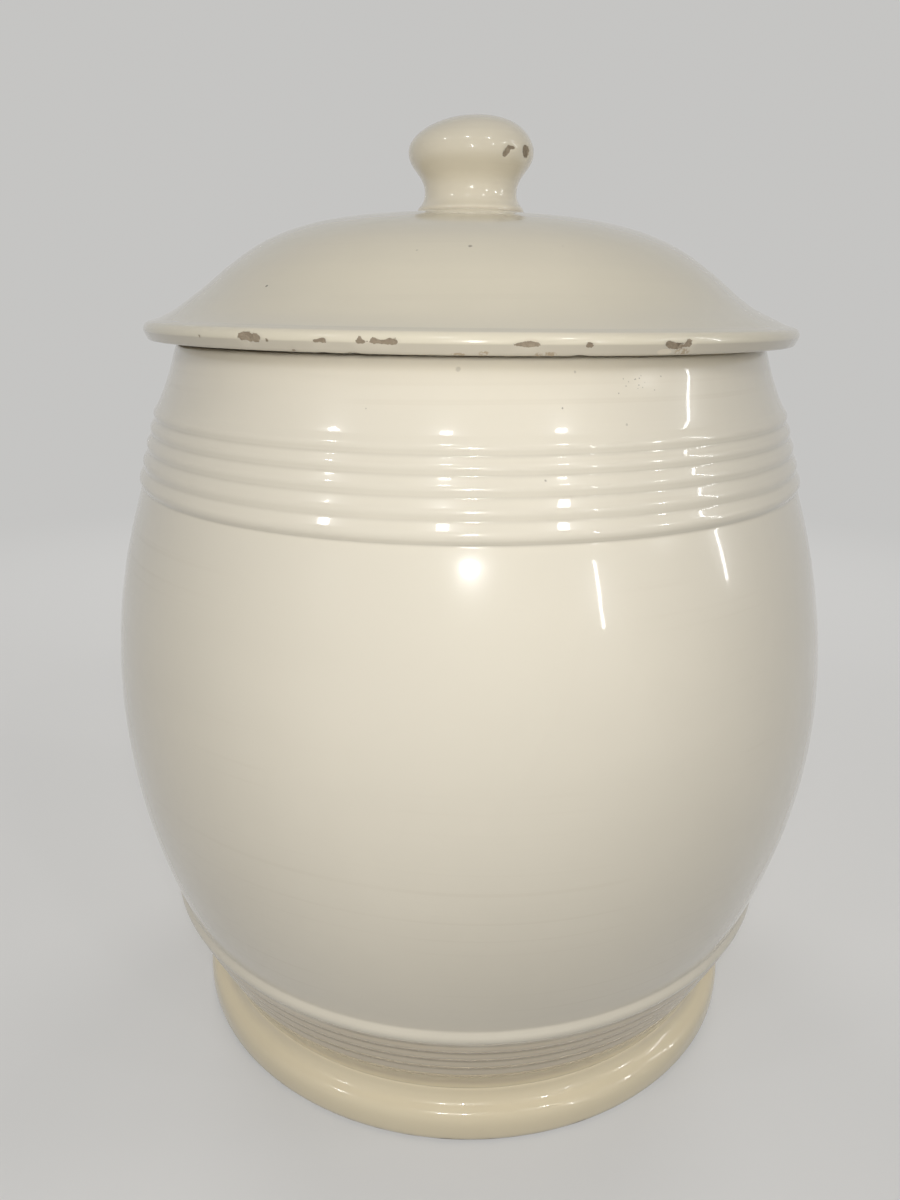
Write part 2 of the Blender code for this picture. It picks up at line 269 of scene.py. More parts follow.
# How far the hand that threw it strays: the belly leans to the right and is a little out of round,
# in two lobes and a weaker three that twist as they rise, and the fingers leave faint rings that
# climb the wall. Both are whole from so many neck lengths below the rim
BELLY_LEAN = 0.00070
LEAN_HEIGHT = 0.1050
LEAN_SPREAD = 0.0420
OUT_OF_ROUND = 0.00022
TWO_LOBES_TURN = 0.7
THREE_LOBES_SHARE = 0.5
THREE_LOBES_TWIST = 40
HAND_FREE_NECKS = 3
FINGER_RING_DEPTH = 0.00007
FINGER_RING_SPACING = 0.0042
FINGER_RING_SEED = 3
CHANCE_LEVELS = 1024


def between(low, high, share):
    """The value that lies at a share of the way from low to high."""
    return low + (high - low) * share


def eased(value, low, high):
    """0 up to low, 1 from high on, with a smooth rise between."""
    share = np.clip((value - low) / (high - low), 0, 1)
    return share * share * (3 - 2 * share)


def uneven(place, spacing, seed):
    """Smooth rises and falls between -1 and 1 along a line, one in about every spacing."""
    levels = np.random.default_rng(seed).uniform(-1, 1, CHANCE_LEVELS)
    at = place / spacing
    low = np.floor(at).astype(int)
    near = levels[low % CHANCE_LEVELS]
    far = levels[(low + 1) % CHANCE_LEVELS]
    return between(near, far, eased(at - low, 0, 1))


def bezier(start, first, second, end):
    """Points along a cubic curve, both ends included."""
    t = np.linspace(0, 1, CURVE_POINTS)[:, None]
    corners = [np.array(corner) for corner in (start, first, second, end)]
    weights = ((1 - t) ** 3, 3 * (1 - t) ** 2 * t, 3 * (1 - t) * t**2, t**3)
    return [tuple(point) for point in sum(w * c for w, c in zip(weights, corners))]


def arc(centre, radius, first, last):
    """Points on a circular arc, by angle in degrees from outward."""
    angles = np.radians(np.linspace(first, last, ROUND_POINTS))
    return [(centre[0] + radius * math.cos(a), centre[1] + radius * math.sin(a)) for a in angles]


def swelling(top, bottom, edge_shares, proud, skew):
    """A straight wall from top to bottom whose surface swells between each two edges."""
    points = []
    for first, last in zip(edge_shares, edge_shares[1:]):
        for t in np.linspace(0, 1, ROUND_POINTS)[1:]:
            place = between(first, last, t)
            swell = proud * math.sin(math.pi * t**skew)
            points.append((between(top[0], bottom[0], place) + swell, between(top[1], bottom[1], place)))
    return points


def under_glaze(outline, softness, closed=False):
    """An outline as the glaze leaves it, with softened corners, thinned to the rings that it needs.

    Gives each ring's radius, height, outward normal and relief, from -1 in a hollow to 1 on an edge.
    """
    points = np.array(outline + outline[:1] if closed else outline)
    along = np.concatenate(([0], np.cumsum(np.hypot(*np.diff(points, axis=0).T))))
    count = round(along[-1] / FINE_STEP)
    fine = np.linspace(0, along[-1], count + 1)
    points = np.stack([np.interp(fine, along, points[:, axis]) for axis in (0, 1)])
    if closed:
        points = points[:, :-1]

    def spread(width):
        if closed:
            return np.pad(points, ((0, 0), (width, width)), mode="wrap")
        return np.pad(points, ((0, 0), (width, width)), mode="reflect", reflect_type="odd")

    width = math.ceil(BELL_REACH * softness / FINE_STEP)
    bell = np.exp(-0.5 * (np.arange(-width, width + 1) * FINE_STEP / softness) ** 2)
    points = np.array([np.convolve(row, bell / bell.sum(), mode="valid") for row in spread(width)])

    reach = round(RELIEF_REACH / FINE_STEP)
    far = spread(reach)
    run = far[:, 2 * reach :] - far[:, : -2 * reach]
    normal = np.stack((-run[1], run[0])) / np.hypot(*run)
    middle = (far[:, 2 * reach :] + far[:, : -2 * reach]) / 2
    relief = np.clip(((points - middle) * normal).sum(0) / RELIEF_FULL, -1, 1)

    kept = [0]
    for i in range(1, points.shape[1] - 1):
        start = points[:, kept[-1]]
        chord = points[:, i + 1] - start
        offsets = points[:, kept[-1] + 1 : i + 1] - start[:, None]
        length = math.hypot(*chord)
        bow = np.abs(chord[0] * offsets[1] - chord[1] * offsets[0]).max() / length
        if bow > OUTLINE_TOLERANCE or length > LONGEST_RING:
            kept.append(i)
    kept.append(points.shape[1] - 1)
    return points[0][kept], points[1][kept], normal[:, kept], relief[kept]


def turned(name, rings, segments, hand, closed=False):
    """A skin turned about the upright axis from its rings, then moved as the hand function says.

    hand takes each point's radius, height and angle from the front round to the right, and gives how
    far it goes inward, to the right and up.
    """
    radius, height, normal, relief = rings
    angle = np.arange(segments) * math.tau / segments
    inward, right, up = hand(radius[:, None], height[:, None], angle[None, :])
    flat = np.zeros((len(radius), segments))
    out = radius[:, None] - inward * normal[0][:, None] + flat
    lift = height[:, None] - inward * normal[1][:, None] + up + flat
    grid = np.stack((out * np.sin(angle) + right, -out * np.cos(angle) + flat, lift), axis=-1)

    spokes = np.arange(segments)
    index = np.arange(len(radius) * segments).reshape(len(radius), segments)
    if closed:
        index = np.vstack((index, index[:1]))
    else:
        index[0] = index[0][0]
        index[-1] = index[-1][0]
        grid[0, :, :2] = 0
        grid[-1, :, :2] = 0
    faces = []
    for upper, lower in zip(index, index[1:]):
        for j, k in zip(spokes, np.roll(spokes, -1)):
            corners = (upper[j], lower[j], lower[k], upper[k])
            faces.append(tuple(int(c) for c in dict.fromkeys(corners)))

    mesh = bpy.data.meshes.new(name)
    mesh.from_pydata(grid.reshape(-1, 3).tolist(), [], faces)
    layer = mesh.attributes.new("relief", "FLOAT", "POINT")
    layer.data.foreach_set("value", (relief[:, None] + flat).astype(np.float32).ravel())
    mesh.validate()
    mesh.shade_smooth()
    piece = bpy.data.objects.new(name, mesh)
    bpy.context.scene.collection.objects.link(piece)
    return piece


def wall_radius(height):
    """Outer radius of the jar at a height, without its reeds, bead and ridges."""
    if height < SKIRT_TOP:
        return between(WAIST_RADIUS, SKIRT_RADIUS, (height - FOOT_HEIGHT) / SKIRT_LENGTH)
    if height < BEAD_TOP:
        return between(SKIRT_RADIUS, BEAD_RADIUS, (height - SKIRT_TOP) / BEAD_WIDTH)
    if height < GIRTH_HEIGHT:
        return between(BELLY_RADIUS, BEAD_RADIUS, ((GIRTH_HEIGHT - height) / LOWER_BELLY) ** 2)
    if height < BAND_BOTTOM:
        return between(BELLY_RADIUS, BELLY_TOP_RADIUS, ((height - GIRTH_HEIGHT) / UPPER_BELLY) ** 2)
    if height < BAND_TOP:
        return between(BAND_RADIUS, SHOULDER_RADIUS, (height - BAND_BOTTOM) / (BAND_TOP - BAND_BOTTOM))
    left = max(0.0, (JAR_HEIGHT - height) / NECK_LENGTH)
    return between(RIM_RADIUS, SHOULDER_RADIUS, left**NECK_SWEEP)


def cove(height):
    """How far the slip fills the corner over the foot, so that the skirt comes down upright to it."""
    low = COVE_HEIGHT - (height - FOOT_HEIGHT)
    return SKIRT_TAPER / SKIRT_LENGTH * low**2 / (2 * COVE_HEIGHT)


def jar_outline():
    """From the middle of the floor up the inside, over the rim, down the outside and back under."""
    corner = FLOOR_TOP + FLOOR_FILLET
    corner_radius = wall_radius(corner) - WALL
    start = (corner_radius - FLOOR_FILLET, FLOOR_TOP)
    bend = (between(start[0], corner_radius, FLOOR_HANDLE_SHARES[0]), FLOOR_TOP)
    rise = between(FLOOR_TOP, corner, FLOOR_HANDLE_SHARES[1])
    side = (wall_radius(rise) - WALL, rise)
    outline = [(0, FLOOR_TOP)] + bezier(start, bend, side, (corner_radius, corner))
    rim = JAR_HEIGHT - RIM_ROUND
    outline += [(wall_radius(z) - WALL, z) for z in np.linspace(BEAD_TOP, rim, INSIDE_POINTS)]
    outline += arc((MOUTH_RADIUS + RIM_ROUND, rim), RIM_ROUND, 180, 90)
    outline += arc((RIM_RADIUS - RIM_ROUND, rim), RIM_ROUND, 90, 0)
    outline += [(wall_radius(z), z) for z in np.linspace(rim, BAND_TOP, NECK_POINTS)[1:]]

    band = (BAND_RADIUS, BAND_BOTTOM)
    outline += swelling((SHOULDER_RADIUS, BAND_TOP), band, REED_EDGE_SHARES, REED_PROUD, REED_SKEW)
    outline.append((BELLY_TOP_RADIUS, BAND_BOTTOM - BAND_STEP))
    belly_top = BAND_BOTTOM - 2 * BAND_STEP
    outline += [(wall_radius(z), z) for z in np.linspace(belly_top, BEAD_TOP, BELLY_POINTS)]
    skirt = (SKIRT_RADIUS, SKIRT_TOP)
    outline += swelling((BEAD_RADIUS, BEAD_TOP), skirt, (0, 1), BEAD_PROUD, BEAD_SKEW)
    outline += swelling(skirt, (WAIST_RADIUS, FOOT_HEIGHT), RIDGE_EDGE_SHARES, RIDGE_PROUD, 1)
    for height in np.linspace(FOOT_HEIGHT + COVE_HEIGHT, FOOT_HEIGHT, COVE_POINTS):
        outline.append((wall_radius(height) + cove(height), height))
    return outline + [(0, FOOT_HEIGHT)]


def jar_hand(radius, height, angle):
    """The lean, the roundness and the finger rings of the jar, none of them at its rim or its waist."""
    free = eased(JAR_HEIGHT - height, NECK_LENGTH, HAND_FREE_NECKS * NECK_LENGTH)
    free = eased(height, BEAD_TOP, GIRTH_HEIGHT) * free
    climb = height + FINGER_RING_SPACING * angle / math.tau
    rings = uneven(climb, FINGER_RING_SPACING, FINGER_RING_SEED) * FINGER_RING_DEPTH * free
    wide = np.cos(2 * angle + TWO_LOBES_TURN)
    wide = wide + THREE_LOBES_SHARE * np.cos(3 * angle + THREE_LOBES_TWIST * height)
    lean = BELLY_LEAN * np.exp(-(((height - LEAN_HEIGHT) / LEAN_SPREAD) ** 2))
    outside = eased(radius - MOUTH_RADIUS + 0 * height, 0, WALL)
    return rings * outside - OUT_OF_ROUND * wide * free, lean, 0


def shader_group(name, inputs, outputs):
    """A node group with named sockets: the group, its entry's outputs and its exit's inputs."""
    group = bpy.data.node_groups.new(name, "ShaderNodeTree")
    for sockets, way in ((inputs, "INPUT"), (outputs, "OUTPUT")):
        for label, kind in sockets.items():
            group.interface.new_socket(label, in_out=way, socket_type="NodeSocket" + kind)
    return group, group.nodes.new("NodeGroupInput").outputs, group.nodes.new("NodeGroupOutput").inputs


def ramp(tree, value, low, high, start=0.0, end=1.0):
    """A value mapped smoothly from low and high to start and end."""
    inputs = {"Value": value, "From Min": low, "From Max": high, "To Min": start, "To Max": end}
    return put(tree, "ShaderNodeMapRange", inputs, interpolation_type="SMOOTHSTEP").outputs["Result"]


def times(tree, first, second):
    """One value times another."""
    return sum_up(tree, "MULTIPLY", first, second)


def scaled(tree, value, factor, plus):
    """A value times a factor, plus an amount."""
    inputs = {0: value, 1: factor, 2: plus}
    return put(tree, "ShaderNodeMath", inputs, operation="MULTIPLY_ADD").outputs[0]


def grain(tree, place, scale, detail, roughness=0.5):
    """A noise between about 0.3 and 0.7, with features of 1 / scale metres."""
    inputs = {"Vector": place, "Scale": scale, "Detail": detail, "Roughness": roughness}
    return put(tree, "ShaderNodeTexNoise", inputs).outputs["Fac"]


def mixed(tree, share, first, second):
    """Two colours mixed by a share."""
    return put(tree, "ShaderNodeMix", {0: share, 6: first, 7: second}, data_type="RGBA").outputs[2]


def straying_height(tree, place, noise, reach):
    """The height of a place, raised by up to a reach so that a level line strays."""
    height = put(tree, "ShaderNodeSeparateXYZ", {0: place}).outputs["Z"]
    return sum_up(tree, "ADD", height, times(tree, grain(tree, place, *noise), reach))


def relief_at(tree):
    """The relief that the skin carries, from -1 in a hollow to 1 on an edge."""
    return put(tree, "ShaderNodeAttribute", attribute_name="relief").outputs["Fac"]


# The opaque glaze, shared by all four pieces: soft drifts of tone, thinner and browner over edges,
# painted shade that darkens hollows, and a gloss that swells and ripples very slightly. A noise is
# given by its features to the metre, its octaves and its roughness, limits are where it starts and
# ends to count, and the clouds break up the thin edges by a factor and an amount
DRIFT_NOISE = (11, 2.5)
DRIFT_LIMITS = (0.36, 0.66)
DRIFT_SHARE = 0.75
CLOUD_NOISE = (70, 3.0)
CLOUD_LIMITS = (0.30, 0.70)
CLOUD_SHARE = 0.22
THIN_LIMITS = (0.58, 0.95)
THIN_CLOUDS = (0.5, 0.8)
HOLLOW_SHADE_LIMITS = (-0.20, -1.0)
GLAZE_ROUGHNESS = (0.19, 0.26)
RIPPLE_NOISE = (260, 1.0)
RIPPLE_SHARE = 0.4
SWELL_NOISE = (45, 1.0)
SWELL_SHARE = 3.0

tin_glaze, entry, leave = shader_group(
    "tin_glaze",
    {"Place": "Vector", "Relief": "Float"} | dict.fromkeys(("Glaze", "Drift", "Thin", "Hollow Shade"), "Color"),
    {"Color": "Color", "Roughness": "Float", "Height": "Float"},
)
drifts = ramp(tin_glaze, grain(tin_glaze, entry["Place"], *DRIFT_NOISE), *DRIFT_LIMITS)
cloud = ramp(tin_glaze, grain(tin_glaze, entry["Place"], *CLOUD_NOISE), *CLOUD_LIMITS)
tone = mixed(tin_glaze, times(tin_glaze, drifts, DRIFT_SHARE), entry["Glaze"], entry["Drift"])
tone = mixed(tin_glaze, times(tin_glaze, cloud, CLOUD_SHARE), tone, entry["Drift"])
worn = scaled(tin_glaze, cloud, *THIN_CLOUDS)
edge = sum_up(tin_glaze, "MULTIPLY", ramp(tin_glaze, entry["Relief"], *THIN_LIMITS), worn, True)
tone = mixed(tin_glaze, edge, tone, entry["Thin"])
# Painted shade: hollows are mixed towards a darker tone
tone = mixed(tin_glaze, ramp(tin_glaze, entry["Relief"], *HOLLOW_SHADE_LIMITS), tone, entry["Hollow Shade"])
ripple = times(tin_glaze, grain(tin_glaze, entry["Place"], *RIPPLE_NOISE), RIPPLE_SHARE)
swell = times(tin_glaze, grain(tin_glaze, entry["Place"], *SWELL_NOISE), SWELL_SHARE)
tin_glaze.links.new(tone, leave["Color"])
tin_glaze.links.new(ramp(tin_glaze, cloud, 0, 1, *GLAZE_ROUGHNESS), leave["Roughness"])
tin_glaze.links.new(sum_up(tin_glaze, "ADD", ripple, swell), leave["Height"])

# Faint level lines that the turning wheel leaves in patches under the glaze, and that sway a little
SWAY_NOISE = (9, 1.0)
SWAY_REACH = 0.0030
LINE_OCTAVES = 3.0
LINE_LIMITS = (0.60, 0.74)
PATCH_NOISE = (16, 2.0)
PATCH_LIMITS = (0.42, 0.62)

wheel_lines, entry, leave = shader_group(
    "wheel_lines", {"Place": "Vector", "Lines": "Float"}, {"Height": "Float", "Mask": "Float"}
)
level = straying_height(wheel_lines, entry["Place"], SWAY_NOISE, SWAY_REACH)
level = times(wheel_lines, level, entry["Lines"])
inputs = {"W": level, "Scale": 1.0, "Detail": LINE_OCTAVES}
lines = put(wheel_lines, "ShaderNodeTexNoise", inputs, noise_dimensions="1D").outputs["Fac"]
patches = ramp(wheel_lines, grain(wheel_lines, entry["Place"], *PATCH_NOISE), *PATCH_LIMITS)
mask = ramp(wheel_lines, lines, *LINE_LIMITS)
wheel_lines.links.new(times(wheel_lines, lines, patches), leave["Height"])
wheel_lines.links.new(times(wheel_lines, mask, patches), leave["Mask"])

# Specks of iron that burn through the glaze in the kiln, strewn by chance: the cells to the metre
# that one may lie in, and their sizes as shares of a cell
SPECK_CELLS = 120.0
SPECK_SIZE_SPREAD = 0.05
SPECK_LEAST_SIZE = 0.02

iron_specks, entry, leave = shader_group(
    "iron_specks", {"Place": "Vector", "Cells": "Float", "Share": "Float"}, {"Mask": "Float"}
)
cells = put(iron_specks, "ShaderNodeTexVoronoi", {"Vector": entry["Place"], "Scale": entry["Cells"]})
chance = put(iron_specks, "ShaderNodeSeparateColor", {0: cells.outputs["Color"]})
present = sum_up(iron_specks, "LESS_THAN", chance.outputs[0], entry["Share"])
size = scaled(iron_specks, chance.outputs[1], SPECK_SIZE_SPREAD, SPECK_LEAST_SIZE)
dot = sum_up(iron_specks, "LESS_THAN", cells.outputs["Distance"], size)
iron_specks.links.new(times(iron_specks, dot, present), leave["Mask"])

# One speck at a chosen place, added to those before it, that fades over these shares of its radius
SPECK_FADE = (1.25, 0.55)

speck_here, entry, leave = shader_group(
    "speck_here",
    {"Place": "Vector", "Centre": "Vector", "Radius": "Float", "Depth": "Float", "Others": "Float"},
    {"Mask": "Float"},
)
away = put(speck_here, "ShaderNodeVectorMath", {0: entry["Place"], 1: entry["Centre"]}, operation="DISTANCE")
share = sum_up(speck_here, "DIVIDE", away.outputs["Value"], entry["Radius"])
dark = times(speck_here, ramp(speck_here, share, *SPECK_FADE), entry["Depth"])
speck_here.links.new(sum_up(speck_here, "MAXIMUM", dark, entry["Others"]), leave["Mask"])

# A place shaken a little, so that round marks come out uneven
SHAKE_NOISE = {"Scale": 1500.0, "Detail": 1.0}
SHAKE_MIDDLE = (0.5, 0.5, 0.5)

shaken, entry, leave = shader_group(
    "shaken_place", {"Place": "Vector", "Reach": "Float"}, {"Place": "Vector"}
)
shake = put(shaken, "ShaderNodeTexNoise", {"Vector": entry["Place"], **SHAKE_NOISE}).outputs["Color"]
shake = put(shaken, "ShaderNodeVectorMath", {0: shake, 1: SHAKE_MIDDLE}, operation="SUBTRACT")
shake = put(shaken, "ShaderNodeVectorMath", {0: shake.outputs[0], "Scale": entry["Reach"]}, operation="SCALE")
moved = put(shaken, "ShaderNodeVectorMath", {0: entry["Place"], 1: shake.outputs[0]}, operation="ADD")
shaken.links.new(moved.outputs[0], leave["Place"])

# The fired clay under the glaze, seen where it was wiped bare or is chipped: grey-brown and gritty
GRIT_NOISE = (420, 4.0, 0.7)
GRIT_LIMITS = (0.35, 0.65)
GRIT_SHARE = 0.6

bare_clay, entry, leave = shader_group(
    "bare_clay",
    {"Place": "Vector", "Clay": "Color", "Grit": "Color"},
    {"Color": "Color", "Height": "Float"},
)
coarse = ramp(bare_clay, grain(bare_clay, entry["Place"], *GRIT_NOISE), *GRIT_LIMITS)
gritty = times(bare_clay, coarse, GRIT_SHARE)
bare_clay.links.new(mixed(bare_clay, gritty, entry["Clay"], entry["Grit"]), leave["Color"])
bare_clay.links.new(coarse, leave["Height"])

# Where a flake of glaze has gone: the bare patch, whose outline a noise makes ragged by a factor
# and an amount, and the pale broken edge round it
RAGGED_NOISE = (1000, 4.0, 0.7)
RAGGED_REACH = (1.10, -0.55)
BARE_LIMITS = (0.48, 0.54)
BROKEN_LIMITS = (0.40, 0.48)

glaze_chips, entry, leave = shader_group(
    "glaze_chips", {"Place": "Vector", "Sum": "Float"}, {"Bare": "Float", "Broken Edge": "Float"}
)
ragged = scaled(glaze_chips, grain(glaze_chips, entry["Place"], *RAGGED_NOISE), *RAGGED_REACH)
depth = sum_up(glaze_chips, "ADD", entry["Sum"], ragged)
bare = ramp(glaze_chips, depth, *BARE_LIMITS)
near = ramp(glaze_chips, depth, *BROKEN_LIMITS)
glaze_chips.links.new(bare, leave["Bare"])
glaze_chips.links.new(sum_up(glaze_chips, "SUBTRACT", near, bare, True), leave["Broken Edge"])

# Tones of the fired clay, of iron and of broken glaze, how much of them shows, and how high each
# unevenness stands under the gloss
CLAY = (0.350, 0.288, 0.208, 1)
GRIT = (0.250, 0.196, 0.135, 1)
IRON = (0.130, 0.105, 0.075, 1)
BROKEN_GLAZE = (0.780, 0.735, 0.640, 1)
WHEEL_LINE_SHARE = 0.16
IRON_SHARE = 0.85
BROKEN_GLAZE_SHARE = 0.35
SPECK_SHAKE = 0.00030
GLAZE_IOR = 1.52
GLOSS_COAT = 0.85
GLOSS_COAT_ROUGHNESS = 0.05
CLAY_ROUGHNESS = 0.85
RIPPLES = {"Strength": 0.5, "Distance": 0.00009}
TURNED_LINES = {"Strength": 0.6, "Distance": 0.00005}
CLAY_GRIT = {"Strength": 1.0, "Distance": 0.00025}


def glazed(
    name, glaze, drift, thin, hollow_shade, specks, lines, speck_share, zones=(), wiped=None, chipped=None
):
    """The finish of one piece: glaze with painted shade in its hollows, wheel lines, specks, chips and, where
    it was wiped, bare clay.

    specks holds a centre, a radius and a depth of colour for each, and zones a function that gives a
    mask and the colour there. wiped is a function that gives the mask of the wiped clay, and chipped
    one that gives the sum of the chips' marks.
    """
    material, tree, surface = blank_material(name)

    def group(of, inputs):
        return put(tree, "ShaderNodeGroup", inputs, node_tree=of).outputs

    place = put(tree, "ShaderNodeTexCoord").outputs["Object"]
    # The tone of the painted shade in hollows goes in with the glaze's tones
    tones = {"Glaze": glaze, "Drift": drift, "Thin": thin, "Hollow Shade": hollow_shade}
    coat = group(tin_glaze, {"Place": place, "Relief": relief_at(tree), **tones})
    wheel = group(wheel_lines, {"Place": place, "Lines": lines})
    dots = group(iron_specks, {"Place": place, "Cells": SPECK_CELLS, "Share": speck_share})["Mask"]
    near_place = group(shaken, {"Place": place, "Reach": SPECK_SHAKE})["Place"]
    for centre, radius, depth in specks:
        speck = {"Place": near_place, "Centre": centre, "Radius": radius, "Depth": depth, "Others": dots}
        dots = group(speck_here, speck)["Mask"]

    tone = mixed(tree, times(tree, wheel["Mask"], WHEEL_LINE_SHARE), coat["Color"], thin)
    for zone, zone_tone in zones:
        tone = mixed(tree, zone(tree, place), tone, zone_tone)
    tone = mixed(tree, times(tree, dots, IRON_SHARE), tone, IRON)

    bare = None
    if chipped is not None:
        chips = group(glaze_chips, {"Place": place, "Sum": chipped(tree, near_place)})
        broken = times(tree, chips["Broken Edge"], BROKEN_GLAZE_SHARE)
        tone = mixed(tree, broken, tone, BROKEN_GLAZE)
        bare = chips["Bare"]
    if wiped is not None:
        mask = wiped(tree, place)
        bare = mask if bare is None else sum_up(tree, "MAXIMUM", bare, mask)

    rough = coat["Roughness"]
    gloss = GLOSS_COAT
    ripple_height = coat["Height"]
    line_height = wheel["Height"]
    if bare is not None:
        clay = group(bare_clay, {"Place": place, "Clay": CLAY, "Grit": GRIT})
        tone = mixed(tree, bare, tone, clay["Color"])
        rough_inputs = {"Value": bare, "To Min": rough, "To Max": CLAY_ROUGHNESS}
        rough = put(tree, "ShaderNodeMapRange", rough_inputs).outputs["Result"]
        covered = sum_up(tree, "SUBTRACT", 1.0, bare)
        gloss = times(tree, covered, GLOSS_COAT)
        ripple_height = times(tree, ripple_height, covered)
        line_height = times(tree, line_height, covered)

    normal = put(tree, "ShaderNodeBump", {**RIPPLES, "Height": ripple_height}).outputs[0]
    turned_lines = {**TURNED_LINES, "Height": line_height, "Normal": normal}
    normal = put(tree, "ShaderNodeBump", turned_lines).outputs[0]
    if bare is not None:
        grit_height = times(tree, clay["Height"], bare)
        grit = {**CLAY_GRIT, "Height": grit_height, "Normal": normal}
        normal = put(tree, "ShaderNodeBump", grit).outputs[0]
    shader = put(
        tree,
        "ShaderNodeBsdfPrincipled",
        {
            "Base Color": tone,
            "Roughness": rough,
            "IOR": GLAZE_IOR,
            "Normal": normal,
            "Coat Weight": gloss,
            "Coat Roughness": GLOSS_COAT_ROUGHNESS,
        },
    )
    tree.links.new(shader.outputs[0], surface.inputs["Surface"])
    return material


# Specks on the front of the jar: the angle round from the front to the right in degrees, the
# height, the radius, and how dark it burnt
JAR_SPECKS = (
    (10.1, 0.1955, 0.00048, 0.95),
    (14.4, 0.1953, 0.00030, 0.85),
    (14.3, 0.1995, 0.00032, 0.85),
    (25.4, 0.1976, 0.00026, 0.60),
    (13.1, 0.2108, 0.00024, 0.75),
    (-1.5, 0.2191, 0.00060, 0.30),
    (-39.3, 0.1980, 0.00026, 0.45),
    (-14.4, 0.2104, 0.00020, 0.40),
    (15.4, 0.2184, 0.00028, 0.35),
    (22.5, 0.2069, 0.00030, 0.40),
)
# A spray of fine specks among them: the middle and spread of their angles and heights, how many,
# and the least and most of their radii and of how dark they burnt
SPRAY_MIDDLE = (25.4, 0.2155)
SPRAY_SPREAD = (2.0, 0.0012)
SPRAY_SPECKS = 14
SPRAY_RADII = (0.00010, 0.00022)
SPRAY_DEPTHS = (0.35, 0.75)
SPRAY_SEED = 21


def round_at(angle, out, height):
    """A place by its angle round from the front to the right, in degrees, and its distance and height."""
    turn = math.radians(angle)
    return out * math.sin(turn), -out * math.cos(turn), height


def on_jar(angle, height, radius, depth):
    """A speck on the jar's outside."""
    return round_at(angle, wall_radius(height), height), radius, depth


jar_specks = [on_jar(*speck) for speck in JAR_SPECKS]
chance = np.random.default_rng(SPRAY_SEED)
for _ in range(SPRAY_SPECKS):
    turn, height = chance.normal(SPRAY_MIDDLE, SPRAY_SPREAD)
    jar_specks.append(on_jar(turn, height, chance.uniform(*SPRAY_RADII), chance.uniform(*SPRAY_DEPTHS)))

# How the tone changes down the jar: thin glaze and painted shade on the skirt, painted shade in the
# grooves between its ridges, and the foot's cream over the seam
SKIRT_THIN_AND_SHADE_TONE = (0.600, 0.505, 0.365, 1)
SKIRT_NOISE = (60, 2.0)
SKIRT_FADE = 0.0030
SKIRT_SHARE = 0.80
GROOVE_SHADE_TONE = (0.360, 0.300, 0.210, 1)
GROOVE_SHADE_LIMITS = (-0.05, -0.45)
FOOT_CREAM = (0.795, 0.695, 0.490, 1)
SEAM_NOISE = (90, 2.0)
SEAM_FADE = 0.0010


def thin_and_shaded_skirt(tree, place):
    """The skirt below the bead, where the glaze ran thin, darkened too with painted shade."""
    height = straying_height(tree, place, SKIRT_NOISE, SKIRT_FADE)
    return ramp(tree, height, SKIRT_TOP + SKIRT_FADE, SKIRT_TOP, 0.0, SKIRT_SHARE)


def painted_shade_in_grooves(tree, place):
    """Painted shade in the grooves between the fine ridges, on the skirt."""
    return times(tree, ramp(tree, relief_at(tree), *GROOVE_SHADE_LIMITS), thin_and_shaded_skirt(tree, place))


def cream_at_seam(tree, place):
    """The cream glaze of the foot, run a little way up over the seam."""
    height = straying_height(tree, place, SEAM_NOISE, SEAM_FADE)
    return ramp(tree, height, FOOT_HEIGHT + COVE_HEIGHT, FOOT_HEIGHT + SEAM_FADE)


jar = turned("glazed_jar", under_glaze(jar_outline(), JAR_SOFTNESS), JAR_SEGMENTS, jar_hand)
jar.data.materials.append(
    glazed(
        "jar_glaze",
        glaze=(0.765, 0.705, 0.580, 1),
        drift=(0.720, 0.665, 0.548, 1),
        thin=(0.590, 0.515, 0.395, 1),
        hollow_shade=(0.610, 0.560, 0.455, 1),
        specks=jar_specks,
        lines=420.0,
        speck_share=0.02,
        zones=(
            # Thin glaze and painted shade: the skirt is darkened and browned here
            (thin_and_shaded_skirt, SKIRT_THIN_AND_SHADE_TONE),
            # Painted shade in the skirt's grooves
            (painted_shade_in_grooves, GROOVE_SHADE_TONE),
            (cream_at_seam, FOOT_CREAM),
        ),
    )
)
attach(jar, "jar")
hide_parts("jar_body")


# The foot ring
# A thick ring thrown apart, turned to a flare and luted under the floor with slip. Its glaze is
# creamier, and it was wiped off the resting face so that the jar would not stick to the shelf.
foot_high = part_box("foot_ring")[1]
FOOT_RADIUS = foot_high.x
FOOT_TOP = foot_high.z
FOOT_WALL = 0.0105
LIP_HEIGHT = 0.0037
LIP_UNDERCUT = 0.0022
FOOT_CHAMFER = 0.0020
FLARE_HANDLE_SHARES = (0.66, 0.20)
FOOT_SOFTNESS = 0.00035
SEAM_BRIDGE = 0.0006
FOOT_SEGMENTS = 256

# How high the glaze was wiped off: the most, the least as a share of it, and how sharp the line is
WIPED_HEIGHT = 0.0014
WIPED_LEAST_SHARE = 0.3
WIPED_NOISE = (120, 3.0)
WIPED_LIMITS = (0.3, 0.7)
WIPED_BLUR = (-0.0001, 0.0001)


